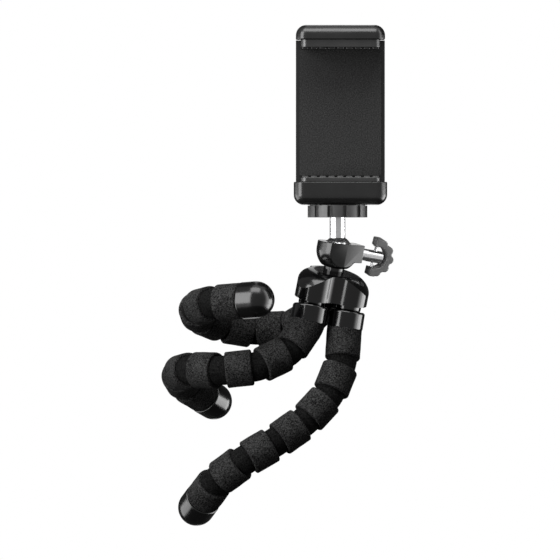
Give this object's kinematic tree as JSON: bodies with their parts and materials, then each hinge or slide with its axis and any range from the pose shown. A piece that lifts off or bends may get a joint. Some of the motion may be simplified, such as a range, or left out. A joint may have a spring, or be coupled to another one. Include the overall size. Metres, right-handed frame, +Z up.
{
  "type": "flexible leg tripod",
  "caption": "Small tripod with bendable foam-banded legs wound round a pole, a ball head locked by a folding knob, and a sprung phone clamp.",
  "frame": {"origin": "on the upright axis of the grip that the wound legs form, at about the middle of the legs' height", "axes": "+Z up along the grip's axis, -Y to the open side of the phone clamp, +X to the side where the hub stands"},
  "size_m": [0.1045, 0.0822, 0.2249],
  "materials": {
    "gloss_shell": "gloss",
    "satin_shell": "satin",
    "core_plastic": "matte",
    "leg_foam": "matte",
    "grip_rubber": "matte",
    "bright_steel": "polished",
    "brass_inserts": "satin"
  },
  "bodies": {
    "hub": {"hub": "gloss_shell", "ball_socket": "satin_shell", "brake_pad": "brass_inserts"},
    "ball_stem": {"ball_stem": "bright_steel"},
    "clamp": {"clamp_body": "satin_shell", "clamp_nut": "brass_inserts", "back_pad": "grip_rubber", "lower_pad": "grip_rubber", "jaw_springs": "bright_steel"},
    "upper_jaw": {"upper_jaw": "satin_shell", "upper_pad": "grip_rubber"},
    "lock_screw": {"lock_screw": "bright_steel", "knob_pin": "bright_steel"},
    "lock_knob": {"lock_knob": "satin_shell"},
    "lock_wheel": {"lock_wheel": "satin_shell"},
    "right_collar": {"right_collar": "gloss_shell"},
    "right_segment_1": {"right_foam_1": "leg_foam", "right_link_1": "core_plastic"},
    "right_segment_2": {"right_foam_2": "leg_foam", "right_link_2": "core_plastic"},
    "right_segment_3": {"right_foam_3": "leg_foam", "right_link_3": "core_plastic"},
    "right_segment_4": {"right_foam_4": "leg_foam", "right_link_4": "core_plastic"},
    "right_segment_5": {"right_foam_5": "leg_foam", "right_link_5": "core_plastic"},
    "right_segment_6": {"right_foam_6": "leg_foam", "right_link_6": "core_plastic"},
    "right_segment_7": {"right_foam_7": "leg_foam", "right_foot": "gloss_shell"},
    "front_collar": {"front_collar": "gloss_shell"},
    "front_segment_1": {"front_foam_1": "leg_foam", "front_link_1": "core_plastic"},
    "front_segment_2": {"front_foam_2": "leg_foam", "front_link_2": "core_plastic"},
    "front_segment_3": {"front_foam_3": "leg_foam", "front_link_3": "core_plastic"},
    "front_segment_4": {"front_foam_4": "leg_foam", "front_link_4": "core_plastic"},
    "front_segment_5": {"front_foam_5": "leg_foam", "front_link_5": "core_plastic"},
    "front_segment_6": {"front_foam_6": "leg_foam", "front_link_6": "core_plastic"},
    "front_segment_7": {"front_foam_7": "leg_foam", "front_foot": "gloss_shell"},
    "back_collar": {"back_collar": "gloss_shell"},
    "back_segment_1": {"back_foam_1": "leg_foam", "back_link_1": "core_plastic"},
    "back_segment_2": {"back_foam_2": "leg_foam", "back_link_2": "core_plastic"},
    "back_segment_3": {"back_foam_3": "leg_foam", "back_link_3": "core_plastic"},
    "back_segment_4": {"back_foam_4": "leg_foam", "back_link_4": "core_plastic"},
    "back_segment_5": {"back_foam_5": "leg_foam", "back_link_5": "core_plastic"},
    "back_segment_6": {"back_foam_6": "leg_foam", "back_link_6": "core_plastic"},
    "back_segment_7": {"back_foam_7": "leg_foam", "back_foot": "gloss_shell"}
  },
  "joints": [
    {"name": "ball_tilt", "type": "hinge", "parent": "hub", "child": "ball_stem", "pos_m": [0.03734, -0.00893, 0.06743], "axis": [-0.7442, -0.668, 0], "range_deg": [-32, 12]},
    {"name": "clamp_swivel", "type": "hinge", "parent": "ball_stem", "child": "clamp", "pos_m": [0.03734, -0.00893, 0.06743], "axis": [0, 0, 1], "range_deg": [-180, 180]},
    {"name": "upper_jaw_slide", "type": "slide", "parent": "clamp", "child": "upper_jaw", "axis": [0, 0, 1], "range_m": [0, 0.026], "stiffness_N_per_m": 160, "springref_m": -0.03, "deforming": ["jaw_springs"]},
    {"name": "lock_screw_turn", "type": "hinge", "parent": "hub", "child": "lock_screw", "pos_m": [0.05382, -0.00104, 0.06459], "axis": [0.8912, 0.4269, -0.1534], "range_deg": [0, 360]},
    {"name": "knob_fold", "type": "hinge", "parent": "lock_screw", "child": "lock_knob", "pos_m": [0.05382, -0.00104, 0.06459], "axis": [0.2494, -0.1786, 0.9518], "range_deg": [-80, 80]},
    {"name": "right_bend_0", "type": "hinge", "parent": "hub", "child": "right_collar", "pos_m": [0.04199, -0.0064, 0.04202], "axis": [-0.9746, -0.162, 0.1544], "range_deg": [-30, 13.5]},
    {"name": "right_bend_1", "type": "hinge", "parent": "right_collar", "child": "right_segment_1", "pos_m": [0.0404, -0.0064, 0.032], "axis": [0.9554, 0.2537, -0.1513], "range_deg": [-9.5, 34]},
    {"name": "right_bend_2", "type": "hinge", "parent": "right_segment_1", "child": "right_segment_2", "pos_m": [0.03943, -0.01193, 0.01659], "axis": [-0.0455, -0.9395, 0.3396], "range_deg": [-17, 52.5]},
    {"name": "right_bend_3", "type": "hinge", "parent": "right_segment_2", "child": "right_segment_3", "pos_m": [0.03353, -0.01688, 0.00211], "axis": [-0.0004, 0.9463, -0.3233], "range_deg": [-55.5, 14]},
    {"name": "right_bend_4", "type": "hinge", "parent": "right_segment_3", "child": "right_segment_4", "pos_m": [0.02263, -0.02084, -0.00949], "axis": [-0.0318, 0.9545, -0.2965], "range_deg": [-46.5, 23]},
    {"name": "right_bend_5", "type": "hinge", "parent": "right_segment_4", "child": "right_segment_5", "pos_m": [0.00944, -0.02413, -0.01866], "axis": [-0.2918, -0.6865, 0.666], "range_deg": [-28.5, 41]},
    {"name": "right_bend_6", "type": "hinge", "parent": "right_segment_5", "child": "right_segment_6", "pos_m": [-0.00462, -0.02611, -0.02686], "axis": [-0.5142, 0.2198, 0.829], "range_deg": [-7.5, 62]},
    {"name": "right_bend_7", "type": "hinge", "parent": "right_segment_6", "child": "right_segment_7", "pos_m": [-0.01704, -0.02058, -0.03603], "axis": [0.4147, -0.4131, -0.8108], "range_deg": [-63.5, 6]},
    {"name": "front_bend_0", "type": "hinge", "parent": "hub", "child": "front_collar", "pos_m": [0.02581, -0.01068, 0.04425], "axis": [-0.9824, -0.0313, 0.1842], "range_deg": [-22, 8]},
    {"name": "front_bend_1", "type": "hinge", "parent": "front_collar", "child": "front_segment_1", "pos_m": [0.02398, -0.01173, 0.03432], "axis": [0.6338, -0.7727, -0.0346], "range_deg": [-1.5, 30]},
    {"name": "front_bend_2", "type": "hinge", "parent": "front_segment_1", "child": "front_segment_2", "pos_m": [0.01556, -0.01808, 0.02175], "axis": [-0.143, 0.9187, -0.3681], "range_deg": [-38, 5]},
    {"name": "front_bend_3", "type": "hinge", "parent": "front_segment_2", "child": "front_segment_3", "pos_m": [0.00139, -0.02295, 0.01508], "axis": [-0.1243, -0.6565, 0.744], "range_deg": [-6.5, 60]},
    {"name": "front_bend_4", "type": "hinge", "parent": "front_segment_3", "child": "front_segment_4", "pos_m": [-0.01488, -0.02182, 0.01337], "axis": [0.1163, 0.1957, -0.9737], "range_deg": [-66.5, 3]},
    {"name": "front_bend_5", "type": "hinge", "parent": "front_segment_4", "child": "front_segment_5", "pos_m": [-0.02831, -0.01241, 0.01366], "axis": [0.1371, 0.1661, 0.9765], "range_deg": [-1, 68.5]},
    {"name": "front_bend_6", "type": "hinge", "parent": "front_segment_5", "child": "front_segment_6", "pos_m": [-0.03442, 0.00271, 0.01194], "axis": [-0.3129, -0.2308, -0.9213], "range_deg": [-68, 1.5]},
    {"name": "front_bend_7", "type": "hinge", "parent": "front_segment_6", "child": "front_segment_7", "pos_m": [-0.0317, 0.01816, 0.00715], "axis": [0.298, 0.2347, 0.9253], "range_deg": [-4, 65.5]},
    {"name": "back_bend_0", "type": "hinge", "parent": "hub", "child": "back_collar", "pos_m": [0.03074, 0.00528, 0.04674], "axis": [-0.8565, -0.5132, 0.0553], "range_deg": [-4, 25]},
    {"name": "back_bend_1", "type": "hinge", "parent": "back_collar", "child": "back_segment_1", "pos_m": [0.02716, 0.0104, 0.03874], "axis": [-0.558, -0.7896, -0.2553], "range_deg": [0, 18]},
    {"name": "back_bend_2", "type": "hinge", "parent": "back_segment_1", "child": "back_segment_2", "pos_m": [0.01603, 0.02042, 0.03207], "axis": [-0.1178, -0.6375, -0.7614], "range_deg": [-0.5, 24]},
    {"name": "back_bend_3", "type": "hinge", "parent": "back_segment_2", "child": "back_segment_3", "pos_m": [0.00013, 0.02439, 0.03121], "axis": [-0.0389, -0.3583, -0.9328], "range_deg": [-0.5, 69]},
    {"name": "back_bend_4", "type": "hinge", "parent": "back_segment_3", "child": "back_segment_4", "pos_m": [-0.01527, 0.01938, 0.03378], "axis": [-0.0826, -0.2414, -0.9669], "range_deg": [-1, 68.5]},
    {"name": "back_bend_5", "type": "hinge", "parent": "back_segment_4", "child": "back_segment_5", "pos_m": [-0.02507, 0.00684, 0.03775], "axis": [-0.1158, -0.2163, -0.9694], "range_deg": [-1.5, 68]},
    {"name": "back_bend_6", "type": "hinge", "parent": "back_segment_5", "child": "back_segment_6", "pos_m": [-0.02618, -0.0091, 0.04144], "axis": [-0.1037, -0.2174, -0.9706], "range_deg": [-1, 68.5]},
    {"name": "back_bend_7", "type": "hinge", "parent": "back_segment_6", "child": "back_segment_7", "pos_m": [-0.01806, -0.02317, 0.04372], "axis": [-0.0059, -0.1635, -0.9865], "range_deg": [-1.5, 68]},
    {"name": "lock_wheel_turn", "type": "hinge", "parent": "ball_stem", "child": "lock_wheel", "pos_m": [0.03734, -0.00893, 0.06743], "axis": [0, 0, 1], "continuous": true}
  ]
}
